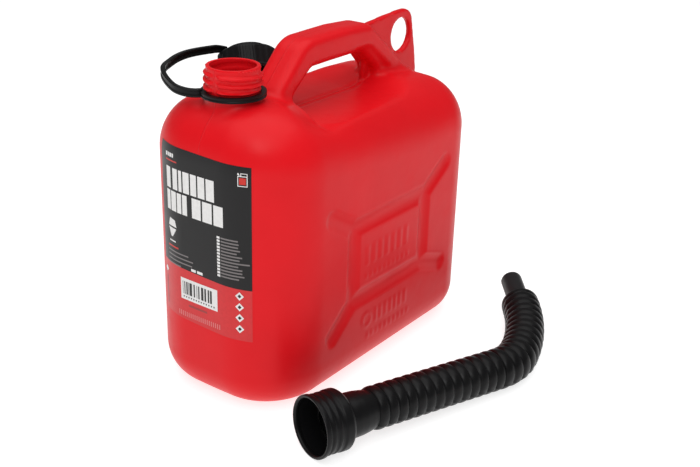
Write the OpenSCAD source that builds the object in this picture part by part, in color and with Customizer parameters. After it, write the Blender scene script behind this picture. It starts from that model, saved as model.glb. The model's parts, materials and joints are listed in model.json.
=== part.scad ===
// Five-litre jerry can with a tethered screw cap and a loose flexible pouring spout.
// +X runs from the filler neck to the rear tab, +Z is up, the origin is the middle of the base.

/* [Can] */
// Length of the can
body_l = 265; // [255:1:275]
// Width of the can
body_w = 139; // [134:1:146]
// Height of the can's top above the base, measured in the middle
body_h = 219; // [214:1:224]
// Fall of the top from front to rear, in degrees
top_fall = 4.3; // [3:0.1:5]
// Upright corner radius at the front
front_r = 52; // [44:1:56]
// Upright corner radius at the rear
rear_r = 36; // [30:1:44]
// Radius of the long shoulders
shoulder_r = 44; // [38:1:48]
// Radius around the base
base_r = 30; // [24:1:32]
// Wall thickness
wall = 2; // [1.6:0.1:2.4]
// Depth of the pressed grooves on the sides
groove_d = 1.2; // [0.8:0.1:1.4]

/* [Hand recess and handle] */
// Front end of the hand recess
recess_x = -49; // [-52:1:-46]
// Floor height of the hand recess
recess_z = 205.5; // [202:0.5:208]
// Half width of the hand recess, which runs out on to both shoulders
recess_y = 62; // [60:1:66]
// Width of the handle
handle_w = 28; // [24:1:30]
// Top of the handle above the base
handle_top = 258; // [257:0.5:260]
// Thickness of the spout tab
tab_t = 5; // [4:0.5:7]
// Radius of the hole in the spout tab
tab_hole_r = 14; // [13:0.5:15]

/* [Filler neck] */
// Distance of the neck's axis in front of the middle
neck_x = -95.6; // [-98:0.2:-93]
// Top of the neck's rim
neck_top = 249.6; // [248:0.2:252]
// Bore radius of the neck
neck_bore_r = 16.2; // [15:0.1:16.6]
// Radius at the thread's root
neck_root_r = 18.9; // [18.4:0.1:19]
// Radius at the thread's crest
thread_r = 20.9; // [20.6:0.1:21]
// Distance between the thread's turns
thread_pitch = 5; // [4.8:0.1:5.2]

/* [Cap and tether] */
// Radius of the cap's skirt
cap_r = 24; // [23.6:0.1:24.4]
// Height of the cap
cap_h = 21.5; // [20:0.5:22]
// Lean of the cap as it hangs beside the handle, in degrees
cap_lean = 36.3; // [35:0.1:37]
// Height of the tether strap
strap_h = 6; // [5:0.1:6.2]
// Thickness of the tether strap
strap_t = 3.4; // [2.6:0.1:3.6]

/* [Spout] */
// Outside radius of the threaded cup
cup_r = 23; // [22.8:0.1:23.2]
// Outside radius of the hose
hose_r = 15.5; // [15:0.1:15.8]
// Length of the straight corrugated run
run_l = 122; // [118:1:126]
// Centre-line radius of the bend
bend_r = 54; // [50:1:58]
// Turn of the bend, in degrees
bend_turn = 34; // [30:1:38]
// Centre-line radius of the slightly curved end
end_r = 160; // [150:5:170]
// Turn of the slightly curved end, in degrees
end_turn = 26; // [24:1:28]
// Outside radius of the outlet tube
tube_r = 9.1; // [8.8:0.1:9.4]
// Free length of the outlet tube
tube_l = 36; // [30:1:38]

/* [Label] */
// Half width of the label
label_half_y = 42; // [38:1:44]
// Lower edge of the label
label_z0 = 62; // [58:1:66]
// Upper edge of the label
label_z1 = 192; // [186:1:194]

/* [Hidden] */

red = [0.80, 0.07, 0.08];
black = [0.09, 0.09, 0.10];
grey = [0.22, 0.22, 0.23];
rubber = [0.16, 0.16, 0.16];
paper = [0.10, 0.10, 0.11];

half_l = body_l / 2;
half_w = body_w / 2;
far = 400;              // longer than any part of the can

// Centres of the four arcs of the side view
front_c = [-92.5, 186];
front_top_r = 40;
rear_c = [94.5, 174];
rear_top_r = 38;

neck_foot = 214;        // the neck tube starts inside the can
ring_z = 229.6;         // underside of the tether's neck ring
ring_h = 3.8;
ring_in_r = neck_root_r + 0.4;
ring_out_r = 23.2;
first_turn_z = 246.2;   // middle of the highest thread turn

cap_top = [-4.7, 67.9, 233.2];
cap_turn = 51.6;        // direction of the cap's lean, in degrees from +X
cap_ring_r = 16;
boss_r = 11.2;

mouth = [-138.8, -104.7, 23.4];
spout_yaw = -19.3;
spout_pitch = 2.3;
spout_roll = 8.5;
cup_l = 26;
taper_l = 24;
hose_wall = 1.6;
cup_bore_r = 21.4;
run_start = cup_l + taper_l;
bend_start = run_start + run_l;
tube_grip = 12;         // length of the outlet tube inside the hose
grip_r = tube_r - 0.4;  // radius of that length
tube_wall = 1.4;
collar_l = 5;           // length of the hose's end collar

$fn = 64;

// Points of an arc, both ends included
function arc(c, r, a0, a1, n = 8) =
    [for (i = [0:n]) c + r * [cos(a0 + (a1 - a0) * i / n), sin(a0 + (a1 - a0) * i / n)]];

// ---- can ---------------------------------------------------------------

// Plan view of the can, t millimetres inside the outside face
module plan_2d(t) {
    polygon(concat(
        arc([half_l - rear_r, half_w - rear_r], rear_r - t, 0, 90),
        arc([-half_l + front_r, half_w - front_r], front_r - t, 90, 180),
        arc([-half_l + front_r, -half_w + front_r], front_r - t, 180, 270),
        arc([half_l - rear_r, -half_w + rear_r], rear_r - t, 270, 360)));
}

// Side view of the can
module side_2d(t) {
    polygon(concat(
        arc([half_l - base_r, base_r], base_r - t, 270, 360),
        arc(rear_c, rear_top_r - t, 0, 90 - top_fall),
        arc(front_c, front_top_r - t, 90 - top_fall, 180),
        arc([-half_l + base_r, base_r], base_r - t, 180, 270)));
}

// End view of the long shoulders, in a frame that falls with the top
module shoulder_2d(t) {
    top = body_h * cos(top_fall);
    polygon(concat(
        arc([half_w - shoulder_r, top - shoulder_r], shoulder_r - t, 0, 90),
        arc([-half_w + shoulder_r, top - shoulder_r], shoulder_r - t, 90, 180),
        [[-half_w + t, -60], [half_w - t, -60]]));
}

// End view of the rounded base
module base_2d(t) {
    polygon(concat(
        [[half_w - t, 300], [-half_w + t, 300]],
        arc([-half_w + base_r, base_r], base_r - t, 180, 270),
        arc([half_w - base_r, base_r], base_r - t, 270, 360)));
}

// Stands a side view up, w wide and centred on the middle plane
module upright(w) {
    translate([0, w / 2, 0]) rotate([90, 0, 0]) linear_extrude(w) children();
}

// Runs an end view along the can
module along_can() {
    translate([-far / 2, 0, 0]) rotate([90, 0, 90]) linear_extrude(far) children();
}

module recess(t) {
    upright(2 * (recess_y + t))
        polygon([[recess_x - t, recess_z - t], [52, recess_z - t], [74 + t, 218 - t],
            [74 + t, 300], [recess_x - t, 300]]);
}

module can_solid(t) {
    difference() {
        intersection() {
            linear_extrude(far) plan_2d(t);
            upright(far) side_2d(t);
            rotate([0, top_fall, 0]) along_can() shoulder_2d(t);
            along_can() base_2d(t);
        }
        recess(t);
    }
}

// Corners of the pressed frame on each side, as [x, z], and the ends of its four arms
frame_pts = [[-43, 71], [51, 71], [51, 131], [-43, 131]];
arm_pts = [[-66, 51], [78, 61], [78, 147], [-69, 146]];

// A round-bottomed groove from a to b on the side face at y = side * half_w
module groove(a, b, side) {
    half = 6;
    r = (half * half + groove_d * groove_d) / (2 * groove_d);
    d = b - a;
    translate([a[0], side * (half_w + r - groove_d), a[1]])
        rotate([0, 90 - atan2(d[1], d[0]), 0])
            cylinder(h = norm(d), r = r);
}

module can_shell() {
    color(red) difference() {
        can_solid(0);
        can_solid(wall);
        translate([neck_x, 0, neck_foot - 2]) cylinder(h = 40, r = neck_root_r);
        for (side = [-1, 1], i = [0:3]) {
            groove(frame_pts[i], frame_pts[(i + 1) % 4], side);
            groove(frame_pts[i], arm_pts[i], side);
        }
    }
}

module filler_neck() {
    crest = 0.5;        // half height of a crest
    flank = 1.2;        // half height of a turn at its root
    turns = [for (i = [2:-1:0]) first_turn_z - i * thread_pitch];
    color(red) translate([neck_x, 0, 0]) rotate_extrude()
        polygon(concat(
            [[neck_bore_r, neck_foot], [neck_root_r, neck_foot]],
            [for (z = turns) for (p = [[neck_root_r, -flank], [thread_r, -crest],
                [thread_r, crest], [neck_root_r, flank]]) [p[0], z + p[1]]],
            [[neck_root_r, neck_top], [neck_bore_r, neck_top]]));
}

// Side view of the handle; t shrinks its band for the hollow inside
module handle_2d(t) {
    difference() {
        polygon(concat(
            [[-66 + t, 190], [-66 + t, 221 - t], [-60.8 + 0.7 * t, 227.3 - 0.7 * t]],
            arc([-19, handle_top - 27], 27 - t, 140, 97, 6),
            [[19, handle_top + 0.5 - t]],
            arc([45, handle_top - 16], 15 - t, 90, 50, 5),
            [[118 - 0.64 * t, 201.3 - 0.77 * t], [118 - t, 190]]));
        polygon(concat(
            [[-49 - t, 190], [-49 - t, 215 + 0.4 * t]],
            arc([-19.5, 226.5], 10.5 + t, 135, 95, 3),
            [[0, 237.4 + t], [30, 237.6 + t], [42 + 0.2 * t, 236.8 + t], [47 + 0.5 * t, 234.5 + 0.8 * t],
            [53.5 + 0.7 * t, 229 + 0.7 * t], [63.3 + 0.8 * t, 219.3 + 0.6 * t], [66 + t, 212], [66 + t, 190]]));
    }
}

module carry_handle() {
    color(red) difference() {
        upright(handle_w) handle_2d(0);
        upright(handle_w - 2 * wall) handle_2d(wall);
        can_solid(0);
    }
}

module spout_tab() {
    corner_r = 12.5;
    color(red) difference() {
        upright(tab_t) polygon(concat(
            [[58, 190], [58, 253], [88, 256.2]],
            arc([112.5, 257 - corner_r], corner_r, 90, 10, 6),
            [[131.5, 214], [131.5, 190]]));
        upright(tab_t + 2) handle_2d(0);
        can_solid(0);
        translate([108.5, 0, 237]) rotate([90, 0, 0]) cylinder(h = far, r = tab_hole_r, center = true);
    }
}

module front_label() {
    color(paper) intersection() {
        translate([0, 0, label_z0]) linear_extrude(label_z1 - label_z0) difference() {
            plan_2d(-0.25);
            plan_2d(-0.05);
        }
        translate([-half_l - 5, -label_half_y, 0]) cube([50, 2 * label_half_y, far]);
    }
}

// ---- tether ------------------------------------------------------------

module tether_ring() {
    color(black) translate([neck_x, 0, ring_z]) difference() {
        cylinder(h = ring_h, r = ring_out_r);
        translate([0, 0, -1]) cylinder(h = ring_h + 2, r = ring_in_r);
    }
}

// Route of the strap's middle from the neck ring to the cap's ring
strap_route = [[-110, 14.5, 231.5], [-115, 19, 231.5], [-117, 26, 231.5], [-116.5, 35, 232],
    [-113.5, 44, 233.5], [-109, 53, 235.5], [-103.5, 60, 237], [-96.5, 65.5, 237.5],
    [-88, 70, 237.5], [-76, 74.5, 238.2], [-62, 78.5, 238], [-47, 81.5, 236.8],
    [-32, 82, 235.6], [-23, 81.4, 234.8], [-15, 79.5, 232.7]];

// Catmull-Rom point of a route, at u from 0 to len - 1
function knot(p, i) = p[max(0, min(len(p) - 1, i))];
function curve(p, u) =
    let (i = min(floor(u), len(p) - 2), s = u - i,
        a = knot(p, i - 1), b = p[i], c = p[i + 1], d = knot(p, i + 2))
    0.5 * (2 * b + (c - a) * s + (2 * a - 5 * b + 4 * c - d) * s * s
        + (3 * b - a - 3 * c + d) * s * s * s);

module strap_sweep(route, w, h, steps) {
    last = len(route) - 1;
    rings = [for (k = [0:steps])
        let (u = last * k / steps, p = curve(route, u),
            t = curve(route, min(last, u + 0.05)) - curve(route, max(0, u - 0.05)),
            side = [-t[1], t[0], 0] / norm([t[0], t[1]]))
        for (q = [[-1, -1], [1, -1], [1, 1], [-1, 1]])
            p + side * q[0] * w / 2 + [0, 0, q[1] * h / 2]];
    walls = [for (k = [0:steps - 1], j = [0:3])
        [4 * k + j, 4 * k + (j + 1) % 4, 4 * k + 4 + (j + 1) % 4, 4 * k + 4 + j]];
    ends = [[3, 2, 1, 0], [4 * steps, 4 * steps + 1, 4 * steps + 2, 4 * steps + 3]];
    polyhedron(rings, concat([for (f = walls) [f[3], f[2], f[1], f[0]]],
        [for (f = ends) [f[3], f[2], f[1], f[0]]]));
}

module tether_strap() {
    color(black) strap_sweep(strap_route, strap_t, strap_h, 36);
}

// ---- cap ---------------------------------------------------------------

// The cap's own frame: top face at z = 0, opening downwards
module cap_frame() {
    translate(cap_top) rotate([0, cap_lean, cap_turn]) children();
}

module cap_ring() {
    color(black) cap_frame() translate([0, 0, -2.6]) difference() {
        cylinder(h = 2.6, r = cap_ring_r);
        translate([0, 0, -1]) cylinder(h = 5, r = boss_r + 0.3);
    }
}

module screw_cap() {
    color(black) cap_frame() rotate_extrude()
        polygon([[0, 1.2], [boss_r + 1, 1.2], [boss_r + 1, 0.4], [boss_r, 0.4], [boss_r, -3],
            [19, -3], [22, -3.5], [cap_r - 0.6, -5.2], [cap_r, -7.2], [cap_r, -cap_h],
            [21.4, -cap_h], [21.4, -6.5], [0, -6.5]]);
}

module cap_gasket() {
    color(rubber) cap_frame() translate([0, 0, -8.4]) difference() {
        cylinder(h = 1.9, r = 21.2);
        translate([0, 0, -1]) cylinder(h = 4, r = 15);
    }
}

// ---- spout -------------------------------------------------------------

// The spout's own frame: +X leaves the cup's mouth along the hose, +Y is the inside of the bend
module spout_frame() {
    translate(mouth) rotate([0, 0, spout_yaw]) rotate([0, spout_pitch, 0])
        rotate([spout_roll, 0, 0]) children();
}

module lathe_x() {
    rotate([0, 90, 0]) rotate_extrude() children();
}

module spout_cup() {
    waist = cup_r - 1.4;        // between the ribs
    rib = cup_r - 0.7;          // crest of the two thin ribs
    flange = cup_r - 0.6;       // the broad flange behind them
    neck_in = hose_r - hose_wall - 1;
    color(black) spout_frame() lathe_x()
        polygon(concat(
            [[cup_bore_r, 0], [cup_r - 0.6, 0], [cup_r, 0.8], [cup_r, 3.4], [waist, 4.2]],
            [for (x = [7, 12]) for (p = [[waist, -1.8], [rib, -0.8], [rib, 0.8], [waist, 1.8]])
                [p[0], x + p[1]]],
            [[waist, 15.5], [flange, 17], [flange, 22], [flange - 1.6, cup_l - 1], [18, cup_l],
            [hose_r + 0.5, cup_l + 2], [hose_r + 0.2, cup_l + 12], [hose_r - 1.8, run_start],
            [neck_in, run_start], [neck_in + 0.4, cup_l - 2], [cup_bore_r, cup_l - 4]]));
}

module spout_gasket() {
    color(rubber) spout_frame() translate([cup_l - 6, 0, 0]) rotate([0, 90, 0]) difference() {
        cylinder(h = 2, r = cup_bore_r - 0.1);
        translate([0, 0, -1]) cylinder(h = 4, r = 15);
    }
}

module hose_run() {
    color(black) spout_frame() translate([run_start, 0, 0]) rotate([0, 90, 0]) difference() {
        cylinder(h = run_l, r = hose_r);
        translate([0, 0, -1]) cylinder(h = run_l + 2, r = hose_r - hose_wall);
    }
}

// A hollow round arc that starts at the origin along +X and turns towards +Y
module tube_arc(arc_r, turn, outer, inner) {
    translate([0, arc_r, 0]) rotate([0, 0, -90]) rotate_extrude(angle = turn)
        translate([arc_r, 0]) difference() {
            circle(outer);
            circle(inner);
        }
}

module bend_frame() {
    spout_frame() translate([bend_start, 0, 0]) children();
}

module end_frame() {
    bend_frame() translate([bend_r * sin(bend_turn), bend_r * (1 - cos(bend_turn)), 0])
        rotate([0, 0, bend_turn]) children();
}

module hose_bend() {
    color(black) bend_frame() tube_arc(bend_r, bend_turn, hose_r, hose_r - hose_wall);
}

// The end of the hose closes in on the outlet tube with a slightly thicker collar
module hose_end() {
    color(black) end_frame() {
        tube_arc(end_r, end_turn, hose_r, hose_r - hose_wall);
        tip_frame() translate([-1, 0, 0]) rotate([0, 90, 0]) difference() {
            cylinder(h = collar_l + 1, r = hose_r + 0.3);
            translate([0, 0, -1]) cylinder(h = collar_l + 3, r = grip_r);
        }
    }
}

module tip_frame() {
    translate([end_r * sin(end_turn), end_r * (1 - cos(end_turn)), 0])
        rotate([0, 0, end_turn]) children();
}

module outlet_tube() {
    color(grey) end_frame() tip_frame() translate([collar_l, 0, 0]) rotate([0, 90, 0])
        difference() {
            union() {
                cylinder(h = tube_l, r = tube_r);
                translate([0, 0, -tube_grip]) cylinder(h = tube_grip, r = grip_r);
            }
            translate([0, 0, -tube_grip - 1])
                cylinder(h = tube_grip + tube_l + 2, r = tube_r - tube_wall);
        }
}

can_shell();
filler_neck();
carry_handle();
spout_tab();
front_label();
tether_ring();
tether_strap();
cap_ring();
screw_cap();
cap_gasket();
spout_cup();
spout_gasket();
hose_run();
hose_bend();
hose_end();
outlet_tube();
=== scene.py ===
import json
import math

import bpy
import numpy as np
from mathutils import Matrix, Vector


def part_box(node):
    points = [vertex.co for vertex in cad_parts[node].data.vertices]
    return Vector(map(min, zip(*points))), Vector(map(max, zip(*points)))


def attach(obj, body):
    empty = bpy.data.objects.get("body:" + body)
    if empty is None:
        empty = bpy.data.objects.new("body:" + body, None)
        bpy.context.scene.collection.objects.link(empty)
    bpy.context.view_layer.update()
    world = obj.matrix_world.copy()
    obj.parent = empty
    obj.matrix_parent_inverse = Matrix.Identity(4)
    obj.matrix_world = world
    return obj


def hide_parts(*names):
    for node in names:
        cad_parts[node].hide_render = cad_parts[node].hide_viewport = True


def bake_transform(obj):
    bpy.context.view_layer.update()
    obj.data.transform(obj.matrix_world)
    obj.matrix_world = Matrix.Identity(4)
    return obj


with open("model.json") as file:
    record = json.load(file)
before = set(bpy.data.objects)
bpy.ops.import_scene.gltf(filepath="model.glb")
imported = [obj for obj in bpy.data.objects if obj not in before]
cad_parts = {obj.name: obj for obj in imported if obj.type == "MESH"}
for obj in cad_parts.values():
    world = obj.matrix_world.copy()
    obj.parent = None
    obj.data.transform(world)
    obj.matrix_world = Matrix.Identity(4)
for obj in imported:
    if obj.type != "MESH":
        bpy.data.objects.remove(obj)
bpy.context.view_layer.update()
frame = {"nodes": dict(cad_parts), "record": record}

MM = 0.001  # everything below is in millimetres, and meshes are made in metres


# ---- where things are, from the frame ------------------------------------------------------------


def in_mm(v):
    return np.array(v, float) / MM


def joint(name):
    return next(j for j in frame["record"]["behaviour"]["joints"] if j["name"] == name)


def mount(name):
    return next(m for m in frame["record"]["mounts"] if m["name"] == name)


CAN_HIGH = in_mm(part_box("can_shell")[1])
HALF_L, HALF_W = CAN_HIGH[0], CAN_HIGH[1]
NECK = in_mm(mount("filler_neck")["pos_m"])[:2]
BORE_R = mount("filler_neck")["dims"]["r_mm"]
NECK_LOW, NECK_HIGH = (in_mm(v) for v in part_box("filler_neck"))
RIM_LIP = 1.6  # the moulded lip that stands above the neck's own end
NECK_TOP = NECK_HIGH[2] + RIM_LIP
THREAD_R = NECK_HIGH[0] - NECK[0]
ROOT_R = THREAD_R - 2
HANDLE_HALF = in_mm(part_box("carry_handle")[1])[1]
TAB_HALF = in_mm(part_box("spout_tab")[1])[1]
TAB_HOLE = in_mm(mount("spout_holder")["pos_m"])
TAB_HOLE_R = mount("spout_holder")["dims"]["r_mm"]
RING_LOW, RING_HIGH = (in_mm(v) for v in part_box("tether_ring"))
CAP_TOP = in_mm(joint("cap_spin")["pos_m"])
CAP_AXIS = np.array(joint("cap_spin")["axis"], float)
HINGE = in_mm(joint("hose_flex")["pos_m"])
HINGE_AXIS = np.array(joint("hose_flex")["axis"], float)
OUTLET = mount("outlet")


# ---- small mathematics ---------------------------------------------------------------------------


def unit(v):
    return np.asarray(v, float) / np.linalg.norm(v)


def smoothstep(x, a, b):
    t = np.clip((x - a) / (b - a), 0, 1)
    return t * t * (3 - 2 * t)


def join(a, b, k):
    """Union of two distances, with a fillet about k wide."""
    h = np.maximum(k - np.abs(a - b), 0) / k
    return np.minimum(a, b) - h * h * k / 4


def carve(a, b, k):
    """Distance a with b cut out of it, and its edge rounded over about k."""
    return -join(-a, b, k)


def meet(a, b, r):
    """Intersection of two distances, with an edge of radius r."""
    u = a + r
    v = b + r
    return np.minimum(np.maximum(u, v), 0) + np.hypot(np.maximum(u, 0), np.maximum(v, 0)) - r


def segment_distance(x, z, a, b):
    d = np.subtract(b, a)
    t = np.clip(((x - a[0]) * d[0] + (z - a[1]) * d[1]) / (d @ d), 0, 1)
    return np.hypot(x - a[0] - t * d[0], z - a[1] - t * d[1])


def outline_distance(x, z, points):
    """Signed distance in the XZ plane to a closed outline, negative inside."""
    away = np.full(np.broadcast(x, z).shape, 1e9)
    inside = np.zeros(away.shape, bool)
    for a, b in zip(points, points[1:] + points[:1]):
        away = np.minimum(away, segment_distance(x, z, a, b))
        if a[1] != b[1]:
            crossing = (a[1] > z) != (b[1] > z)
            inside ^= crossing & (x < (b[0] - a[0]) * (z - a[1]) / (b[1] - a[1]) + a[0])
    return np.where(inside, -away, away)


def arc(centre, r, start, end, n=8):
    angles = np.radians(np.linspace(start, end, n + 1))
    return [(centre[0] + r * math.cos(t), centre[1] + r * math.sin(t)) for t in angles]


def spline(points, per_span):
    """Catmull-Rom curve through points, as an array."""
    p = np.array(points, float)
    p = np.vstack([2 * p[0] - p[1], p, 2 * p[-1] - p[-2]])
    t = np.linspace(0, 1, per_span, endpoint=False)[:, None]
    out = []
    for a, b, c, d in zip(p, p[1:], p[2:], p[3:]):
        out.append(
            0.5 * (2 * b + (c - a) * t + (2 * a - 5 * b + 4 * c - d) * t**2 + (3 * b - a - 3 * c + d) * t**3)
        )
    return np.vstack(out + [p[-2:-1]])


# ---- mesh helpers --------------------------------------------------------------------------------


def new_piece(name, points, faces, material, body=None, replaces=(), slot=None, sharp=40):
    """A mesh piece from points in millimetres."""
    mesh = bpy.data.meshes.new(name)
    mesh.from_pydata((np.asarray(points) * MM).tolist(), [], [list(map(int, f)) for f in faces])
    mesh.validate()
    mesh.shade_smooth()
    mesh.set_sharp_from_angle(angle=math.radians(sharp))
    mesh.materials.append(material)
    piece = bpy.data.objects.new(name, mesh)
    bpy.context.scene.collection.objects.link(piece)
    if replaces:
        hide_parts(*replaces)
    if body:
        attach(piece, body)
    return piece


def grid_faces(rows, columns, close_rows=False, close_columns=False):
    """Quads of a grid of points stored row by row."""
    r = np.arange(rows if close_rows else rows - 1)
    c = np.arange(columns if close_columns else columns - 1)
    i, j = (a.ravel() for a in np.meshgrid(r, c, indexing="ij"))
    i2 = (i + 1) % rows
    j2 = (j + 1) % columns
    return np.stack([i * columns + j, i2 * columns + j, i2 * columns + j2, i * columns + j2], 1)


def softened(points, radius):
    """An open profile with each inner corner cut back and rounded."""
    p = np.array(points, float)
    out = [p[0]]
    for a, b, c in zip(p, p[1:], p[2:]):
        before = min(radius, np.linalg.norm(a - b) / 2.2)
        after = min(radius, np.linalg.norm(c - b) / 2.2)
        start = b + (a - b) * before / np.linalg.norm(a - b)
        end = b + (c - b) * after / np.linalg.norm(c - b)
        out += [start, 0.25 * start + 0.5 * b + 0.25 * end, end]
    return np.array(out + [p[-1]])


def divided(points, step):
    """A profile with points added so that no stretch is longer than step."""
    p = np.array(points, float)
    out = [p[:1]]
    for a, b in zip(p, p[1:]):
        n = max(1, int(math.ceil(np.linalg.norm(b - a) / step)))
        out.append(a + (b - a) * np.linspace(0, 1, n + 1)[1:, None])
    return np.vstack(out)


def across(axis):
    """Two directions square to an axis."""
    side = unit(np.cross(axis, (0, 0, 1) if abs(axis[2]) < 0.9 else (1, 0, 0)))
    return side, np.cross(axis, side)


def revolve(name, profile, origin, axis, material, turns=128, relief=None, **options):
    """A turned piece. profile holds (distance along the axis, radius), relief adds to the radius."""
    axis = unit(axis)
    side, other = across(axis)
    angle = np.linspace(0, 2 * math.pi, turns, endpoint=False)[None, :]
    along = np.asarray(profile)[:, :1]
    radius = np.asarray(profile)[:, 1:]
    if relief:
        radius = radius + relief(angle, along, radius)
    radius = np.broadcast_to(radius, (len(along), turns))[..., None]
    points = origin + along[..., None] * axis + radius * (
        np.cos(angle)[..., None] * side + np.sin(angle)[..., None] * other
    )
    faces = grid_faces(len(along), turns, close_columns=True)
    return new_piece(name, points.reshape(-1, 3), faces, material, **options)


def surface_of(distance, low, high, step):
    """Points and quads of the surface where distance is zero, by surface nets."""
    axes = [np.arange(a, b + step, step) for a, b in zip(low, high)]
    x, y, z = np.meshgrid(*axes, indexing="ij", sparse=True)
    field = np.asarray(distance(x, y, z), np.float32)
    solid = field < 0
    shape = tuple(n - 1 for n in field.shape)
    corners = [(i, j, k) for i in (0, 1) for j in (0, 1) for k in (0, 1)]

    def at(values, corner):
        return values[tuple(slice(c, c + n) for c, n in zip(corner, shape))]

    count = sum(at(solid, c).astype(np.int8) for c in corners)
    active = (count > 0) & (count < 8)
    cells = np.argwhere(active)
    total = np.zeros((len(cells), 3))
    crossings = np.zeros(len(cells))
    for a in corners:
        for axis in range(3):
            if a[axis]:
                continue
            b = tuple(1 if n == axis else c for n, c in enumerate(a))
            fa = at(field, a)[active]
            fb = at(field, b)[active]
            cut = (fa < 0) != (fb < 0)
            t = np.where(cut, fa / np.where(cut, fa - fb, 1), 0)
            place = np.tile(np.array(a, float), (len(cells), 1))
            place[:, axis] += t
            total += place * cut[:, None]
            crossings += cut
    points = np.array(low) + (cells + total / crossings[:, None]) * step
    number = np.full(shape, -1, np.int64)
    number[active] = np.arange(len(cells))
    faces = []
    for axis in range(3):
        u, v = (axis + 1) % 3, (axis + 2) % 3
        here = [slice(1, -1)] * 3
        here[axis] = slice(0, -1)
        ahead = list(here)
        ahead[axis] = slice(1, None)
        change = solid[tuple(here)].astype(np.int8) - solid[tuple(ahead)].astype(np.int8)
        edges = np.argwhere(change != 0)
        sign = change[tuple(edges.T)]
        start = edges.copy()
        start[:, u] += 1
        start[:, v] += 1
        ring = []
        for du, dv in ((-1, -1), (0, -1), (0, 0), (-1, 0)):
            cell = start.copy()
            cell[:, u] += du
            cell[:, v] += dv
            ring.append(number[tuple(cell.T)])
        quads = np.stack(ring, 1)
        quads[sign < 0] = quads[sign < 0][:, ::-1]
        faces.append(quads)
    return points, np.vstack(faces)


def slope_of(distance, points, reach=0.05):
    columns = []
    for axis in range(3):
        ahead = points.copy()
        behind = points.copy()
        ahead[:, axis] += reach
        behind[:, axis] -= reach
        columns.append((distance(*ahead.T) - distance(*behind.T)) / (2 * reach))
    return np.stack(columns, 1)


def settled(distance, points, height=0.0, rounds=2):
    """Points moved on to the surface at that height above zero distance."""
    points = np.array(points, float)
    for _ in range(rounds):
        slope = slope_of(distance, points)
        error = distance(*points.T) - height
        size = np.maximum((slope**2).sum(1), 0.2)
        points -= slope * np.clip(error / size, -2, 2)[:, None]
    return points


# ---- materials -----------------------------------------------------------------------------------


class Shader:
    """A Principled material and short ways to wire it."""

    def __init__(self, name, colour, roughness, ior=1.5, **values):
        self.material = bpy.data.materials.new(name)
        self.material.use_nodes = True
        self.tree = self.material.node_tree
        self.main = self.tree.nodes["Principled BSDF"]
        self.main.inputs["Base Color"].default_value = (*colour, 1)
        self.main.inputs["Roughness"].default_value = roughness
        self.main.inputs["IOR"].default_value = ior
        for key, value in values.items():
            self.main.inputs[key.replace("_", " ")].default_value = value
        self.place = self.tree.nodes.new("ShaderNodeTexCoord").outputs["Object"]

    def node(self, kind, inputs=(), **settings):
        made = self.tree.nodes.new("ShaderNode" + kind)
        for key, value in settings.items():
            setattr(made, key, value)
        for key, value in dict(inputs).items():
            if isinstance(value, bpy.types.NodeSocket):
                self.tree.links.new(value, made.inputs[key])
            else:
                made.inputs[key].default_value = value
        return made

    def noise(self, scale, detail=3, roughness=0.5):
        """Noise between 0 and 1, with scale in waves per metre."""
        return self.node(
            "TexNoise", {"Vector": self.place, "Scale": scale, "Detail": detail, "Roughness": roughness}
        ).outputs["Fac"]

    def remap(self, value, low, high, to_low, to_high):
        return self.node(
            "MapRange",
            {"Value": value, "From Min": low, "From Max": high, "To Min": to_low, "To Max": to_high},
        ).outputs["Result"]

    def maths(self, operation, a, b=0.0):
        return self.node("Math", {0: a, 1: b}, operation=operation).outputs[0]

    def mixed(self, factor, a, b):
        made = self.node("Mix", {"Factor": factor}, data_type="RGBA")
        for key, value in (("A", a), ("B", b)):
            socket = next(s for s in made.inputs if s.name == key and s.type == "RGBA")
            if isinstance(value, bpy.types.NodeSocket):
                self.tree.links.new(value, socket)
            else:
                socket.default_value = (*value, 1)
        return next(s for s in made.outputs if s.type == "RGBA")

    def bump(self, height, strength, distance, under=None):
        inputs = {"Height": height, "Strength": strength, "Distance": distance}
        if under:
            inputs["Normal"] = under
        return self.node("Bump", inputs).outputs["Normal"]

    def set(self, socket, value):
        self.tree.links.new(value, self.main.inputs[socket])


def plastic(name, colour, shade, roughness, grain, scuffs=0.06, **values):
    """Moulded plastic: faint colour drift, fine skin texture, and small scuffs in the gloss."""
    s = Shader(name, colour, roughness, **values)
    drift = s.noise(22, 4)
    s.set("Base Color", s.mixed(s.remap(drift, 0.3, 0.7, 0, 1), colour, shade))
    patches = s.noise(60, 5, 0.65)
    specks = s.noise(900, 2)
    worn = s.maths("MULTIPLY", s.remap(patches, 0.45, 0.7, 0, scuffs), s.remap(specks, 0.3, 0.7, 0.5, 1.5))
    s.set("Roughness", s.maths("ADD", worn, roughness))
    skin = s.bump(s.noise(grain, 2), 0.25, 0.00012)
    s.set("Normal", s.bump(s.noise(70, 2), 0.2, 0.0012, skin))
    return s


def can_plastic():
    s = plastic("red_can_plastic", (0.76, 0.0055, 0.011), (0.71, 0.0045, 0.0095), 0.38, 1600,
                Specular_IOR_Level=0.17)
    split = s.node("SeparateXYZ", {"Vector": s.place})
    seam = s.remap(s.maths("ABSOLUTE", split.outputs["Y"]), 0.0002, 0.0006, 1, 0)
    high = s.remap(split.outputs["Z"], 0.19, 0.205, 0, 1)
    under = s.main.inputs["Normal"].links[0].from_socket
    s.set("Normal", s.bump(s.maths("MULTIPLY", seam, high), 0.6, 0.0004, under))
    return s.material


def black_plastic():
    return plastic("black_moulded_plastic", (0.0065, 0.0063, 0.0068), (0.005, 0.0049, 0.0053), 0.33, 1500,
                   Specular_IOR_Level=0.15).material


def hose_plastic():
    return plastic("black_hose_plastic", (0.006, 0.0058, 0.0062), (0.0045, 0.0044, 0.0048), 0.32, 1100, 0.1,
                   Specular_IOR_Level=0.15).material


def tube_plastic():
    return plastic("grey_tube_plastic", (0.017, 0.0158, 0.017), (0.014, 0.0132, 0.014), 0.4, 1300,
                   Specular_IOR_Level=0.2).material


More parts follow.
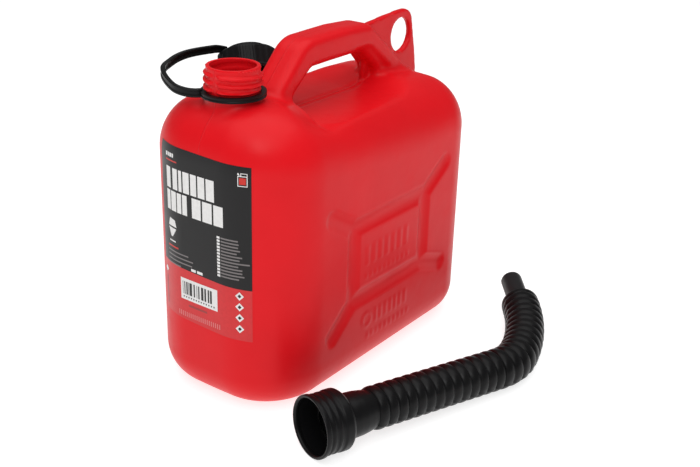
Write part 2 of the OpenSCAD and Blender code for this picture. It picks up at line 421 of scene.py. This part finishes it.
def gasket_rubber():
    return plastic("gasket_rubber", (0.02, 0.02, 0.02), (0.016, 0.016, 0.016), 0.75, 2400).material


def tank_inside_painted_shade():
    # Painted shade: the tank's inner wall is the same red plastic, coloured darker red to stand in for the
    # shade inside the tank.
    return plastic("tank_inside_painted_shade", (0.45, 0.006, 0.008), (0.40, 0.005, 0.007), 0.5, 1200).material


def film(name, colour, roughness=0.33):
    """Printed film: nearly flat colour, a faint print mottle and a slightly wavy gloss."""
    s = Shader(name, colour, roughness, Specular_IOR_Level=0.25)
    mottle = s.remap(s.noise(400, 3), 0.35, 0.65, 0, 1)
    s.set("Base Color", s.mixed(mottle, colour, tuple(c * 0.94 for c in colour)))
    s.set("Roughness", s.remap(s.noise(90, 3), 0.3, 0.7, roughness - 0.03, roughness + 0.05))
    s.set("Normal", s.bump(s.noise(45, 2), 0.15, 0.0008))
    return s.material


def floor_surface():
    s = Shader("floor_surface", (0.5, 0.5, 0.5), 0.9, Emission_Color=(1, 1, 1, 1), Emission_Strength=0.78)
    s.set("Base Color", s.mixed(s.noise(3, 2), (0.5, 0.5, 0.5), (0.48, 0.48, 0.48)))
    return s.material


# ---- the can's shape -----------------------------------------------------------------------------

FRONT_CORNER = 52.0
REAR_CORNER = 36.0
TOP_MIDDLE = 219.3          # height of the top at x = 0
TOP_FALL = math.tan(math.radians(4.3))
BASE_EDGE = 30.0
RECESS_FRONT = -48.5
RECESS_FLOOR = 205.8
GROOVE_DEPTH = 2.5
GROOVE_HALF = 8.0
FRAME_LOW, FRAME_HIGH = (-43.0, 70.5), (51.5, 130.5)
FRAME_CORNERS = [FRAME_LOW, (FRAME_HIGH[0], FRAME_LOW[1]), FRAME_HIGH, (FRAME_LOW[0], FRAME_HIGH[1])]
ARM_ENDS = [(-68, 50), (80, 60), (80, 149), (-70, 146)]

HANDLE_TOP = (
    [(-68, 190), (-67, 218), (-60.8, 227.3)]
    + arc((-19, 231), 27, 140, 97, 6)
    + [(0, 258.3), (19, 258.6)]
    + arc((45, 242.2), 15, 90, 50, 5)
    + [(80, 233), (93.2, 222), (104.5, 212.4), (118, 203), (118, 190)]
)
FINGER_GAP = (
    [(-49, 190), (-49, 215), (-47.4, 217)]
    + arc((-19.5, 226), 10.5, 135, 95, 4)
    + [(0, 236.8), (30, 237), (42, 236.3), (47, 234), (53.5, 228)]
    + [(62.5, 219), (66, 211), (70, 200), (70, 190)]
)
BAND_UNDERSIDE = [
    (30, 190), (30, 238), (45, 238.5), (50, 237), (62.5, 226.7), (75, 216.5), (95, 199), (95, 190),
]
TAB_EDGE = (
    [(56, 190), (56, 252.6), (64, 254.1), (88, 256.2), (104, 257.2)]
    + arc((112.5, 245), 12.4, 88, 12, 6)
    + [(127.5, 235), (131, 220), (133.5, 205), (133.5, 190)]
)


def tank_distance(x, y, z):
    """The tank alone: a block with rounded upright corners, shoulders, base and slightly domed ends."""
    front = smoothstep(-x, 40, 110)
    rear = smoothstep(x, 40, 110)
    across_y = (y / 50) ** 2
    x = x + (rear * 2.2 - front * 1.8) * across_y
    corner = np.where(x < 0, FRONT_CORNER, REAR_CORNER)
    px = np.abs(x) - (HALF_L - corner)
    py = np.abs(y) - (HALF_W - corner)
    plan = np.hypot(np.maximum(px, 0), np.maximum(py, 0)) + np.minimum(np.maximum(px, py), 0) - corner
    edge = 44 - 4 * front - 7 * rear
    top = z - (TOP_MIDDLE - TOP_FALL * x - 0.0008 * y * y)
    return np.maximum(meet(plan, top, edge), meet(plan, -z, BASE_EDGE))


def side_groove(x, y, z):
    """How deep the pressed frame and its four arms are, on both sides."""
    away = np.full(np.broadcast(x, z).shape, 1e9)
    for n, corner in enumerate(FRAME_CORNERS):
        away = np.minimum(away, segment_distance(x, z, corner, FRAME_CORNERS[(n + 1) % 4]))
        away = np.minimum(away, segment_distance(x, z, corner, ARM_ENDS[n]))
    depth = np.maximum(1 - (away / GROOVE_HALF) ** 2, 0)
    return GROOVE_DEPTH * depth * smoothstep(np.abs(y), 52, 60)


def moulded_marks(x, y, z):
    """Raised plain bars where the sides carry moulded marks."""
    rows = (
        (95, 111, -28, 6.0, 2.6, 7), (84, 88, -28, 4.2, 2.0, 10),
        (42, 54, -14, 4.6, 2.2, 7), (31, 36, -24, 4.2, 2.0, 10),
    )
    raised = np.zeros(np.broadcast(x, z).shape)
    for low, high, left, width, gap, count in rows:
        level = smoothstep(z, low - 0.8, low + 0.8) * (1 - smoothstep(z, high - 0.8, high + 0.8))
        place = (x - left) % (width + gap)
        bar = smoothstep(place, 0, 1.4) * (1 - smoothstep(place, width - 1.4, width))
        along = (x > left) & (x < left + count * (width + gap))
        raised = np.maximum(raised, level * bar * along)
    disc = 1 - smoothstep(np.abs(np.hypot(x + 24, z - 48) - 5.4), 0.6, 1.8)
    return 0.55 * np.maximum(raised, disc) * smoothstep(np.abs(y), 52, 60)


def recess_front(y):
    """Where the hand recess starts: its front edge bends forward as it runs down the shoulders."""
    return RECESS_FRONT - 13 * smoothstep(np.abs(y), 10, 62)


def shoulder_dip(x, y, z):
    """How far the top rolls down towards the front edge of the recess."""
    behind = x - recess_front(y)
    depth = 5.5 + 3 * smoothstep(np.abs(y), 10, 36) - 8.5 * smoothstep(np.abs(y), 44, 64)
    return depth * smoothstep(behind, -30, 2) * (1 - smoothstep(behind, 4, 30)) * smoothstep(z, 90, 160)


def recess_distance(x, y, z):
    """The hand recess: a nearly level floor that runs out on to both shoulders."""
    floor = RECESS_FLOOR + 1.5 * smoothstep(np.abs(y), 20, 56) - 1.0 * (1 - smoothstep(np.abs(y), 1, 6))
    floor = floor + 0.9 * (1 - smoothstep(np.abs(y), 0.3, 2)) + 12 * smoothstep(x, 40, 92)
    return meet(floor - z, recess_front(y) - x, 3)


def handle_distance(x, y, z):
    """The hollow handle: a rounded band over the finger gap, and a thinner web behind the gap."""
    hoop = outline_distance(x, z, HANDLE_TOP)
    gap = outline_distance(x, z, FINGER_GAP)
    under = outline_distance(x, z, BAND_UNDERSIDE)
    web = np.maximum(hoop, -gap)
    band = np.maximum(web, -under)
    thick = meet(band, np.abs(y) - HANDLE_HALF, 6)
    thin = meet(web, np.abs(y) - HANDLE_HALF + 2.5, 5.5)
    return join(thick, thin, 1.5)


def tab_distance(x, y, z):
    hole = np.hypot(x - TAB_HOLE[0], z - TAB_HOLE[2]) - TAB_HOLE_R
    plate = meet(outline_distance(x, z, TAB_EDGE), -hole, 0.01)
    return meet(plate, np.abs(y) - TAB_HALF, 1.2)


def can_distance(x, y, z):
    tank = tank_distance(x, y, z + shoulder_dip(x, y, z)) + side_groove(x, y, z) - moulded_marks(x, y, z)
    tank = carve(tank, recess_distance(x, y, z), 2.5)
    stub = meet(np.hypot(x - NECK[0], y - NECK[1]) - ROOT_R, z - RING_LOW[2] - 1, 0.5)
    body = join(tank, meet(stub, 205 - z, 0.5), 5)
    body = join(body, handle_distance(x, y, z), 7)
    return join(body, tab_distance(x, y, z), 2.5)


def without_hole(points, faces, radius, above):
    """Faces that keep clear of the round hole under the neck."""
    middle = points[faces].mean(1)
    clear = np.hypot(middle[:, 0] - NECK[0], middle[:, 1] - NECK[1]) > radius
    return faces[clear | (middle[:, 2] < above)]


def can_body(material):
    step = 1.6
    low = (-HALF_L - 4, -HALF_W - 4, -4)
    high = (HALF_L + 6, HALF_W + 4, 266)
    points, faces = surface_of(can_distance, low, high, step)
    points = settled(can_distance, points)
    faces = without_hole(points, faces, BORE_R + 0.8, 210)
    stands_for = ("can_shell", "carry_handle", "spout_tab")
    return new_piece("can_body", points, faces, material, "can", stands_for, "can_plastic", 60)


def tank_inside(material):
    """The tank's inner wall, seen through the neck."""
    wall = 2.2

    def inner(x, y, z):
        tank = tank_distance(x, y, z + shoulder_dip(x, y, z)) + side_groove(x, y, z)
        return carve(tank, recess_distance(x, y, z), 3) + wall

    points, faces = surface_of(inner, (-HALF_L, -HALF_W, 0), (HALF_L, HALF_W, 230), 6.0)
    faces = without_hole(points, faces, BORE_R - 3, 205)
    return new_piece("tank_inside", points, faces[:, ::-1], material, "can", slot="can_plastic", sharp=80)


# ---- filler neck ---------------------------------------------------------------------------------


def helix_height(angle, along, start, pitch, width):
    """0 to 1: how high a thread ridge stands where it winds down from start."""
    turn = (start - along) / pitch - angle / (2 * math.pi)
    offset = (turn - np.round(turn)) * pitch
    return 1 - smoothstep(np.abs(offset), width * 0.25, width)


def filler_neck(material):
    profile = divided(
        softened(
            [(RING_LOW[2], ROOT_R), (NECK_TOP, ROOT_R), (NECK_TOP, BORE_R), (NECK_LOW[2] - 1, BORE_R)], 0.8
        ),
        0.45,
    )

    def relief(angle, along, radius):
        outside = radius > ROOT_R - 0.05
        ridge = helix_height(angle, along, 247.6, 5.5, 1.9)
        span = smoothstep(along, RING_HIGH[2] + 0.5, RING_HIGH[2] + 2) * (1 - smoothstep(along, 246, 248.4))
        seam = np.abs(np.cos(angle))
        thread = (THREAD_R - ROOT_R) * ridge * span * smoothstep(seam, 0.02, 0.3)
        teeth = 0.55 * (np.sin(48 * angle) > 0) * smoothstep(np.cos(2 * angle), 0.1, 0.4)
        crown = teeth * smoothstep(along, NECK_TOP - 1.8, NECK_TOP - 1.5) * (along < NECK_TOP - 0.3)
        ripple = 0.3 * helix_height(angle, along, 246, 5.5, 2.4)
        return np.where(outside, thread + crown, np.where(radius < BORE_R + 0.05, ripple, 0))

    origin = np.array([NECK[0], NECK[1], 0])
    revolve(
        "neck_thread", profile, origin, (0, 0, 1), material, 224, relief,
        body="can", replaces=("filler_neck",), slot="can_plastic", sharp=50,
    )


# ---- label ---------------------------------------------------------------------------------------

LABEL_HALF = 43.3
LABEL_LOW, LABEL_HIGH, LABEL_SPLIT = 62.0, 194.0, 102.5
LABEL_TILT = 3.12  # how much higher its edges lie at the left end than at the right


def on_front(s, z, height):
    """Points at arc length s round the front of the can and height z, a little off its surface."""
    flat = HALF_W - FRONT_CORNER
    turn = np.maximum(np.abs(s) - flat, 0) / FRONT_CORNER
    x = -HALF_L + FRONT_CORNER - FRONT_CORNER * np.cos(turn)
    y = np.sign(s) * (np.minimum(np.abs(s), flat) + FRONT_CORNER * np.sin(turn))
    points = np.stack([x, y, z], -1).reshape(-1, 3)
    return settled(tank_distance, points, height, 3)


class Print:
    """Collects flat patches that lie on the label, by ink, and makes one piece of each ink."""

    def __init__(self):
        self.inks = {}

    def quad(self, ink, corners, height=0.28):
        """A four-cornered patch, its corners given as (s, z) in order round it."""
        a, b, c, d = (np.array(p, float) for p in corners)
        nu = max(1, int(max(np.linalg.norm(b - a), np.linalg.norm(c - d)) / 3))
        nv = max(1, int(max(np.linalg.norm(d - a), np.linalg.norm(c - b)) / 8))
        u = np.linspace(0, 1, nu + 1)[:, None, None]
        v = np.linspace(0, 1, nv + 1)[None, :, None]
        flat = (a * (1 - u) + b * u) * (1 - v) + (d * (1 - u) + c * u) * v
        points, faces = self.inks.setdefault(ink, ([], []))
        start = sum(len(p) for p in points)
        points.append(on_front(flat[..., 0], flat[..., 1], height))
        faces.append(grid_faces(nu + 1, nv + 1)[:, ::-1] + start)

    def bar(self, ink, left, right, low, high, height=0.28):
        self.quad(ink, [(left, low), (right, low), (right, high), (left, high)], height)

    def frame(self, ink, left, right, low, high, line):
        self.bar(ink, left, right, high - line, high)
        self.bar(ink, left, right, low, low + line)
        self.bar(ink, left, left - line, low, high)
        self.bar(ink, right + line, right, low, high)

    def diamond(self, ink, s, z, half, height=0.28):
        self.quad(ink, [(s + half, z), (s, z - half), (s - half, z), (s, z + half)], height)

    def finish(self):
        for ink, (points, faces) in self.inks.items():
            piece = new_piece("print_" + ink.name, np.vstack(points), np.vstack(faces), ink, "can")


def block_word(sheet, ink, left, low, high, widths, gap):
    """Stands for a printed word: upright blocks side by side, left to right as seen."""
    for width in widths:
        sheet.bar(ink, left, left - width, low, high)
        left -= width + gap


def front_label():
    black = film("label_black", (0.0095, 0.0088, 0.0093))
    red = film("label_red", (0.66, 0.030, 0.034))
    white = film("ink_white", (0.83, 0.82, 0.81))
    grey = film("ink_grey", (0.20, 0.18, 0.18))
    bright = film("ink_red", (0.62, 0.035, 0.025))
    pink = film("ink_pink", (0.72, 0.24, 0.24))
    dark = film("ink_dark", (0.03, 0.028, 0.028))
    dusk = film("ink_dusk", (0.36, 0.045, 0.045))

    across_s = np.linspace(LABEL_HALF, -LABEL_HALF, 59)
    sheets = (("label_upper", black, LABEL_SPLIT, LABEL_HIGH), ("label_lower", red, LABEL_LOW, LABEL_SPLIT))
    for name, ink, low, high in sheets:
        s, part = np.meshgrid(across_s, np.linspace(0, 1, 24), indexing="ij")
        z = low + part * (high - low) + (1 + s / LABEL_HALF) * LABEL_TILT / 2
        points = on_front(s, z, 0.18)
        faces = grid_faces(len(across_s), 24)[:, ::-1]
        piece = new_piece(name, points, faces, ink, "can", slot="label_film")
        if name == "label_upper":
            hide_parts("front_label")

    sheet = Print()
    block_word(sheet, white, 34.0, 187.5, 190.5, [2.2, 1.6, 2.2, 1.8], 0.6)
    sheet.bar(bright, 34.0, 21.0, 184.3, 185.3)
    block_word(sheet, white, 34.0, 164.0, 179.8, [5.4], 1)
    block_word(sheet, white, 26.0, 164.0, 179.8, [5.2, 3.0, 6.0, 5.6, 6.4, 7.4], 1.3)
    block_word(sheet, white, 34.2, 147.2, 162.3, [4.6, 5.8, 4.4, 4.6], 1.0)
    block_word(sheet, white, 7.0, 147.2, 162.3, [8.4, 8.8, 8.4], 1.5)
    can_icon(sheet, white, bright)
    sheet.quad(white, [(33.5, 134.8), (23.5, 134.8), (25, 140), (31.5, 141)])
    sheet.quad(white, [(30.5, 127), (28.5, 126.6), (23.8, 133.4), (33.2, 133.6)])
    sheet.bar(white, 32.5, 25, 122.8, 123.8)
    sheet.bar(bright, 35, 22, 118.4, 119.6)
    for n, right in enumerate((12, 7.5, 8.5, 20)):
        sheet.bar(grey, 35, right, 114.9 - 3.3 * n, 115.9 - 3.3 * n)
    lengths = (14, 14.5, 14, 15.5, 13, 17, 15, 22.5, 14, 17, 17, 18.5, 14.5)
    for n, length in enumerate(lengths):
        z = 139.2 - 2.42 * n
        sheet.bar(white, -15.8, -18.4, z - 0.85, z + 0.85)
        sheet.bar(grey, -19.2, -19.2 - length, z - 0.55, z + 0.55)
    block_word(sheet, white, 9.6, 105.1, 107.2, [4.6, 5.4], 1.2)
    bar_code(sheet, white, dark)
    sheet.bar(dusk, 13, -5, 75.6, 77.2)
    block_word(sheet, pink, 23.5, 66.6, 70.6, [0.7] * 21, 1.3)
    for z in (97.5, 89.0, 80.4, 71.6):
        sheet.diamond(white, -33.8, z, 3.3)
        sheet.diamond(dark, -33.8, z, 1.5, 0.36)
    sheet.diamond(white, 40.0, 97.5, 2.6)
    sheet.bar(dusk, 40.6, 39.2, 69, 92)
    sheet.finish()


def can_icon(sheet, line, fill):
    """A plain picture of a canister."""
    sheet.frame(line, -33.4, -40.6, 180.0, 187.6, 0.55)
    sheet.frame(line, -35.6, -40.6, 187.0, 189.6, 0.5)
    sheet.quad(line, [(-33.2, 188.6), (-35.0, 187.6), (-34.6, 189.0), (-33.8, 189.9)])
    sheet.bar(fill, -34.6, -39.4, 181.4, 186.2)


def bar_code(sheet, paper, ink):
    sheet.bar(paper, 20.5, -15.2, 80.6, 97.6)
    left = 18.5
    bars = (
        (0.4, 1.2), (0.9, 1.0), (1.4, 0.7), (0.6, 0.6), (2.4, 1.6), (1.3, 1.7),
        (0.5, 1.1), (1.2, 1.6), (2.2, 1.0), (1.6, 1.6), (1.4, 0.8), (1.7, 0.9),
    )
    for width, gap in bars:
        sheet.bar(ink, left, left - width, 85.0, 95.2, 0.36)
        left -= width + gap
    for n in range(13):
        sheet.bar(ink, 18.0 - 2.45 * n, 17.0 - 2.45 * n, 82.4, 83.6, 0.36)


# ---- tether --------------------------------------------------------------------------------------

STRAP_ROUTE = [
    (-110.6, 15.2, 231.5), (-115, 19, 231.5), (-117, 26, 231.5), (-116.5, 35, 232), (-113.5, 44, 233.5),
    (-109, 53, 235.5), (-103.5, 60, 237), (-96.5, 65.5, 237.5), (-88, 70, 237.5), (-76, 74.5, 238.2),
    (-62, 78.5, 238), (-47, 81.5, 236.8), (-32, 82, 235.6), (-23, 81.4, 234.8), (-15, 79.5, 232.7),
]
STRAP_HALF_T = 1.7
STRAP_HALF_H = 3.0


def strap_section():
    """Cross-section of the strap, (thickness, height): rounded edges and a groove down both faces."""
    half = [(0.0, -1.0), (0.75, -1.0), (1.0, -0.86), (1.0, -0.5), (0.62, -0.36), (0.55, 0.0)]
    right = half + [(t, -h) for t, h in reversed(half[:-1])]
    left = [(-t, -h) for t, h in right[1:-1]]
    return [(t * STRAP_HALF_T, h * STRAP_HALF_H) for t, h in right + left]


def swept(name, path, section, material, **options):
    """A closed section swept along a path, with its height axis kept upright."""
    tangent = np.gradient(path, axis=0)
    side = np.stack([tangent[:, 1], -tangent[:, 0], np.zeros(len(path))], 1)
    side /= np.linalg.norm(side, axis=1)[:, None]
    section = np.array(section)
    up = np.array([0, 0, 1.0])
    points = path[:, None] + section[None, :, :1] * side[:, None] + section[None, :, 1:] * up
    n = len(section)
    faces = grid_faces(len(path), n, close_columns=True).tolist()
    faces.append(list(range(n))[::-1])
    faces.append([(len(path) - 1) * n + k for k in range(n)])
    return new_piece(name, points.reshape(-1, 3), faces, material, **options)


def tether(material):
    swept(
        "tether_strap_band", spline(STRAP_ROUTE, 10), strap_section(), material,
        body="tether", replaces=("tether_strap",), slot="black_plastic", sharp=35,
    )
    low, high = RING_LOW[2], RING_HIGH[2]
    outer = RING_HIGH[0] - NECK[0]
    inner = ROOT_R + 0.35
    waist = outer - 0.35
    profile = [
        (low, inner), (low, outer), (low + 1.2, outer), (low + 1.6, waist), (high - 1.6, waist),
        (high - 1.2, outer), (high, outer), (high, inner), (low, inner),
    ]
    revolve(
        "tether_collar", softened(profile, 0.5), np.array([NECK[0], NECK[1], 0]), (0, 0, 1), material, 112,
        body="tether", replaces=("tether_ring",), slot="black_plastic",
    )
    profile = [(-2.6, 11.6), (-2.6, 16), (0, 16), (0, 11.6), (-2.6, 11.6)]
    revolve(
        "tether_cap_loop", softened(profile, 0.5), CAP_TOP, CAP_AXIS, material, 96,
        body="tether", replaces=("cap_ring",), slot="black_plastic",
    )


# ---- cap -----------------------------------------------------------------------------------------

CAP_R = 23.8
CAP_H = 21.5
LOBES = 6
CAP_TURN = math.radians(20)  # where one ribbed lobe stands


def screw_cap(material):
    profile = [
        (1.2, 0), (1.2, 12), (0.3, 12.2), (0.2, 11.2), (-3, 11.2), (-3, 19.2), (-3.5, 22), (-5.2, 23.6),
        (-7.4, CAP_R), (-CAP_H + 1.2, CAP_R), (-CAP_H, CAP_R + 0.2), (-CAP_H, 21.4), (-8.4, 21.4),
        (-6.6, 20.8), (-6.6, 0),
    ]
    profile = divided(softened(profile, 0.7), 0.8)
    outside = np.arange(len(profile)) < len(profile) * 0.62

    def relief(angle, along, radius):
        skirt = smoothstep(-along, 2.8, 6.5) * (1 - smoothstep(-along, CAP_H - 1.8, CAP_H - 0.8))
        wave = np.cos(LOBES * (angle - CAP_TURN))
        scallop = 0.9 * smoothstep(-wave, -0.15, 0.95)
        ribs = 0.45 * smoothstep(wave, 0.1, 0.35) * (0.5 + 0.5 * np.cos(LOBES * 12 * angle))
        return outside[:, None] * skirt * (ribs - scallop)

    revolve(
        "cap_shell", profile, CAP_TOP, CAP_AXIS, material, 288, relief,
        body="cap", replaces=("screw_cap",), slot="black_plastic", sharp=50,
    )


# ---- spout ---------------------------------------------------------------------------------------

MOUTH = np.array([-138.8, -104.7, 23.4])
RUN_DIRECTION = unit(HINGE - MOUTH)
RUN_SIDE = np.cross(unit(HINGE_AXIS), RUN_DIRECTION)
CUP_R = 23.0
HOSE_START = 50.0
BEND_START = 172.0
BEND_R, BEND_TURN = 54.0, math.radians(34)
END_R, END_TURN = 160.0, math.radians(26)
END_START = BEND_START + BEND_R * BEND_TURN
COLLAR_START = END_START + END_R * END_TURN
COLLAR_L = 5.0
RING_PITCH = 8.4
CREST_R = 16.0
GROOVE_R = 14.1


def spout_line(s):
    """Centre of the spout at length s from its mouth, its direction there, and its side direction."""
    s = float(s)
    x, y, heading = min(s, BEND_START), 0.0, 0.0
    for start, radius, turn in ((BEND_START, BEND_R, BEND_TURN), (END_START, END_R, END_TURN)):
        angle = min(max(s - start, 0) / radius, turn)
        x += radius * (math.sin(heading + angle) - math.sin(heading))
        y += radius * (math.cos(heading) - math.cos(heading + angle))
        heading += angle
    beyond = max(s - COLLAR_START, 0)
    x += beyond * math.cos(heading)
    y += beyond * math.sin(heading)
    direction = RUN_DIRECTION * math.cos(heading) + RUN_SIDE * math.sin(heading)
    side = RUN_SIDE * math.cos(heading) - RUN_DIRECTION * math.sin(heading)
    return MOUTH + RUN_DIRECTION * x + RUN_SIDE * y, direction, side


def hose_radius(s):
    """Broad rounded rings with narrow grooves between them."""
    phase = (s - HOSE_START) / RING_PITCH
    off_crest = np.abs(2 * (phase - np.floor(phase)) - 1)
    return GROOVE_R + (CREST_R - GROOVE_R) * np.maximum(1 - off_crest**2.4, 0) ** 0.6


def hose_piece(name, start, end, material, turns=80):
    """One stretch of hose between two grooves, with its mould line."""
    stations = np.linspace(start, end, max(8, int((end - start) / RING_PITCH * 14)))
    angle = np.linspace(0, 2 * math.pi, turns, endpoint=False)
    rows = []
    up = unit(HINGE_AXIS)
    for s in stations:
        place, _, side = spout_line(s)
        line = np.exp(-(((np.abs(np.cos(angle - 0.35)) - 1) / 0.0035) ** 2))
        radius = (hose_radius(s) + 0.35 * line)[:, None]
        rows.append(place + radius * (np.cos(angle)[:, None] * side + np.sin(angle)[:, None] * up))
    faces = grid_faces(len(stations), turns, close_columns=True)
    return new_piece(name, np.vstack(rows), faces[:, ::-1], material, sharp=70, slot="black_plastic")


def spout_cup(material):
    crest = CUP_R
    rib = crest - 0.8
    valley = crest - 1.5
    bore = 21.4
    profile = [
        (HOSE_START - 34, 13.2), (20, 17.6), (20, bore), (3.6, bore), (3.2, 20.4), (1.2, 20.4), (0, bore),
        (0, crest - 0.5), (0.6, crest), (3.4, crest), (4.0, valley), (5.4, valley), (6.0, rib), (8.0, rib),
        (8.6, valley), (10.6, valley), (11.2, rib), (13, rib), (13.6, valley), (16, valley),
        (17, crest - 0.5), (22.5, crest - 0.5), (24.5, crest - 2), (25.6, 18.5), (26.4, 17), (27.5, 16.3),
        (33, 16.4), (39, 16.1), (45, 15.2), (HOSE_START + 0.4, 14.0),
    ]
    profile = divided(softened(profile, 0.5), 0.9)
    inside = (profile[:, 1] > 20.9) & (profile[:, 1] < 21.5) & (profile[:, 0] < 19.9)

    def relief(angle, along, radius):
        ridge = helix_height(angle, along, 2.0, 5.0, 1.7) * smoothstep(along, 0.6, 2.4)
        return -1.3 * inside[:, None] * ridge * (1 - smoothstep(along, 14, 18))

    revolve(
        "spout_cup_shell", profile[::-1], MOUTH, RUN_DIRECTION, material, 160,
        lambda a, w, r: relief(a, w, r)[::-1],
        body="spout", replaces=("spout_cup",), slot="black_plastic", sharp=45,
    )


def hose(material):
    groove = HOSE_START + RING_PITCH * math.floor((BEND_START - HOSE_START) / RING_PITCH)
    last = HOSE_START + RING_PITCH * math.ceil((END_START - HOSE_START) / RING_PITCH)
    run = hose_piece("hose_run_rings", HOSE_START, groove, material)
    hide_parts("hose_run")
    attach(run, "spout")
    bend = hose_piece("hose_bend_rings", groove, last, material)
    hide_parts("hose_bend")
    start, _, _ = spout_line(groove)
    end, _, _ = spout_line(last)
    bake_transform(bend)
    tail = hose_piece("hose_end_rings", last, COLLAR_START, material)
    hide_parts("hose_end")
    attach(tail, "spout_end")
    place, direction, _ = spout_line(COLLAR_START)
    profile = softened([(-1.5, 14.4), (-0.6, 15.8), (3.6, 15.8), (COLLAR_L, 14.4), (COLLAR_L, 8.0)], 0.9)
    revolve(
        "hose_collar", divided(profile, 1.2)[::-1], place, direction, material, 96,
        body="spout_end", slot="black_plastic",
    )


def outlet_tube(material):
    radius = OUTLET["dims"]["r_mm"]
    length = OUTLET["dims"]["length_mm"]
    wall = 1.4
    start = in_mm(OUTLET["pos_m"]) - unit(OUTLET["axis"]) * length / 2
    profile = [(-2, radius), (length, radius), (length, radius - wall), (-6, radius - wall)]

    def relief(angle, along, r):
        outside = r > radius - 0.1
        return outside * 0.22 * np.exp(-(((np.abs(np.cos(angle)) - 1) / 0.004) ** 2))

    revolve(
        "outlet_nozzle", divided(softened(profile, 0.45), 2)[::-1], start, OUTLET["axis"], material, 96,
        relief,
        body="spout_end", replaces=("outlet_tube",), slot="tube_plastic",
    )


# ---- stage ---------------------------------------------------------------------------------------


def floor():
    bpy.ops.mesh.primitive_plane_add(size=12)
    plane = bpy.context.object
    plane.name = "studio_floor"
    plane.data.materials.append(floor_surface())


def area_light(name, place, aim, size, power, colour=(1, 1, 1)):
    data = bpy.data.lights.new(name, "AREA")
    data.shape = "RECTANGLE"
    data.size, data.size_y = size
    data.energy = power
    data.color = colour
    light = bpy.data.objects.new(name, data)
    light.location = place
    light.rotation_euler = (Vector(aim) - Vector(place)).to_track_quat("-Z", "Y").to_euler()
    bpy.context.scene.collection.objects.link(light)


def lights():
    world = bpy.data.worlds.new("studio")
    world.use_nodes = True
    background = world.node_tree.nodes["Background"]
    background.inputs["Color"].default_value = (1, 1, 1, 1)
    background.inputs["Strength"].default_value = 0.2
    bpy.context.scene.world = world
    middle = (0, 0, 0.12)
    area_light("top_softbox", (-0.2, -0.1, 1.7), middle, (2.4, 2.4), 30)
    area_light("key_softbox", (-1.0, -0.7, 1.2), middle, (0.5, 0.5), 4.8)


def camera():
    """The photograph's viewing angle: 54.5 degrees to the left, 23.5 above, rolled very slightly."""
    azimuth, elevation, roll = (math.radians(v) for v in (-54.5, 23.5, 1.78))
    target = Vector((48.2, 0, 76.9)) * MM
    back = Vector(
        (
            math.sin(azimuth) * math.cos(elevation),
            -math.cos(azimuth) * math.cos(elevation),
            math.sin(elevation),
        )
    )
    right = Vector((0, 0, 1)).cross(back).normalized()
    up = back.cross(right)
    rolled_right = right * math.cos(roll) + up * math.sin(roll)
    rolled_up = up * math.cos(roll) - right * math.sin(roll)
    data = bpy.data.cameras.new("camera")
    data.sensor_width = 36
    data.lens = 56.42
    made = bpy.data.objects.new("camera", data)
    turn = Matrix((rolled_right, rolled_up, back)).transposed()
    made.matrix_world = Matrix.Translation(target + back * 0.927) @ turn.to_4x4()
    bpy.context.scene.collection.objects.link(made)
    bpy.context.scene.camera = made


def main():
    bpy.context.scene.view_settings.view_transform = "Standard"
    camera()
    lights()
    floor()
    red = can_plastic()
    black = black_plastic()
    ribbed = hose_plastic()
    rubber = gasket_rubber()
    can_body(red)
    tank_inside(tank_inside_painted_shade())
    filler_neck(red)
    front_label()
    tether(black)
    screw_cap(black)
    spout_cup(black)
    hose(ribbed)
    outlet_tube(tube_plastic())
    for node in ("cap_gasket", "spout_gasket"):
        frame["nodes"][node].data.materials.clear()
        frame["nodes"][node].data.materials.append(rubber)


main()
